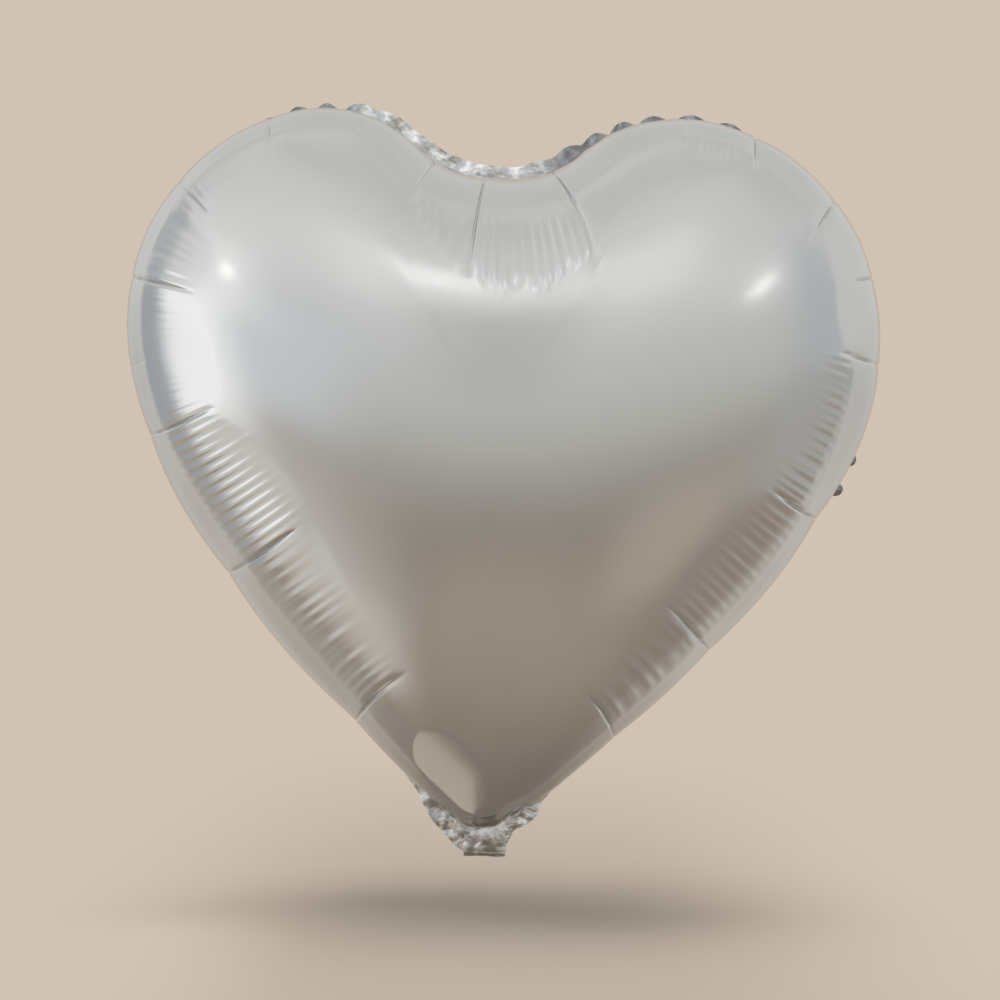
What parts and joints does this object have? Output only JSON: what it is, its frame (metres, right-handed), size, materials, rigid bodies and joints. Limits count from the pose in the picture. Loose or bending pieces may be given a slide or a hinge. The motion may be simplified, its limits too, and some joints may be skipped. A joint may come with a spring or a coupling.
{
  "type": "foil balloon",
  "caption": "Filled heart-shaped foil balloon with a welded rim, a flat neck with a self-closing film valve, and a tail folded up behind.",
  "frame": {"origin": "root of the neck, at the heart's tip, on the plane of the weld, where a ribbon is tied", "axes": "+Z from the tip up through the notch, -Y out of the front panel, +X to the right seen from the front"},
  "size_m": [0.38, 0.176, 0.3783],
  "materials": {
    "foil": "satin silver metallised film, smooth",
    "weld": "crinkled shiny metallised film, two layers fused",
    "valve_film": "thin clear film"
  },
  "bodies": {
    "balloon": {"front_panel": "foil", "rear_panel": "foil", "seal_rim": "weld", "neck_front_ply": "foil", "neck_rear_ply": "foil", "valve_front_film": "valve_film", "valve_rear_film": "valve_film"},
    "tail": {"tail_front_ply": "foil", "tail_rear_ply": "foil", "tail_side_welds": "weld"}
  },
  "joints": [
    {"name": "tail_fold", "type": "hinge", "parent": "balloon", "child": "tail", "pos_m": [0, 0.0012, -0.0122], "axis": [-1, 0, 0], "range_deg": [0, 137.4]}
  ]
}
